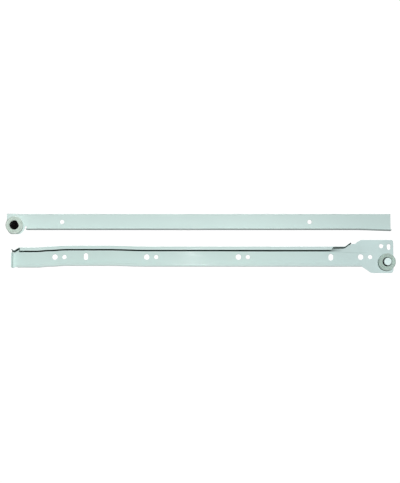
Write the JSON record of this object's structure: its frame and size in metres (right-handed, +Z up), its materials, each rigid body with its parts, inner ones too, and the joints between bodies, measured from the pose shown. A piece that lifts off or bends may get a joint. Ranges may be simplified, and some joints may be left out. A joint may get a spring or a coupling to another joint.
{
  "type": "roller drawer runner",
  "caption": "Bottom-mount roller drawer runner for one side: a channel cabinet member with a fixed front roller and a drawer member with a rear roller, laid out side by side.",
  "frame": {"origin": "on the back face of the cabinet member's web, on its line of fixing holes, halfway along its length", "axes": "+X along the runner to the front of the cabinet, +Y out of the back face into the cabinet side, +Z up"},
  "size_m": [0.406, 0.022, 0.0613],
  "materials": {
    "cabinet_coat": "smooth glossy off-white epoxy powder coat with a cool green tint",
    "drawer_coat": "smooth glossy off-white epoxy powder coat with a cool green tint",
    "roller_nylon": "satin moulded nylon",
    "bush_plastic": "matt black moulded plastic",
    "zinc_rivet": "bright zinc-plated steel",
    "black_rivet": "blackened steel"
  },
  "bodies": {
    "cabinet_member": {"cabinet_profile": "cabinet_coat", "front_axle": "zinc_rivet"},
    "front_wheel": {"front_roller": "roller_nylon", "front_bush": "bush_plastic"},
    "drawer_member": {"drawer_profile": "drawer_coat", "rear_axle": "black_rivet"},
    "rear_wheel": {"rear_roller": "roller_nylon", "rear_bush": "bush_plastic"}
  },
  "joints": [
    {"name": "runner_travel", "type": "slide", "parent": "cabinet_member", "child": "drawer_member", "axis": [1, 0, 0], "range_m": [0, 0.3]},
    {"name": "front_roller_spin", "type": "hinge", "parent": "cabinet_member", "child": "front_wheel", "pos_m": [0.192, -0.006, -0.0056], "axis": [0, 1, 0], "continuous": true},
    {"name": "rear_roller_spin", "type": "hinge", "parent": "drawer_member", "child": "rear_wheel", "pos_m": [-0.196, -0.0182, 0.0318], "axis": [0, 1, 0], "continuous": true}
  ]
}
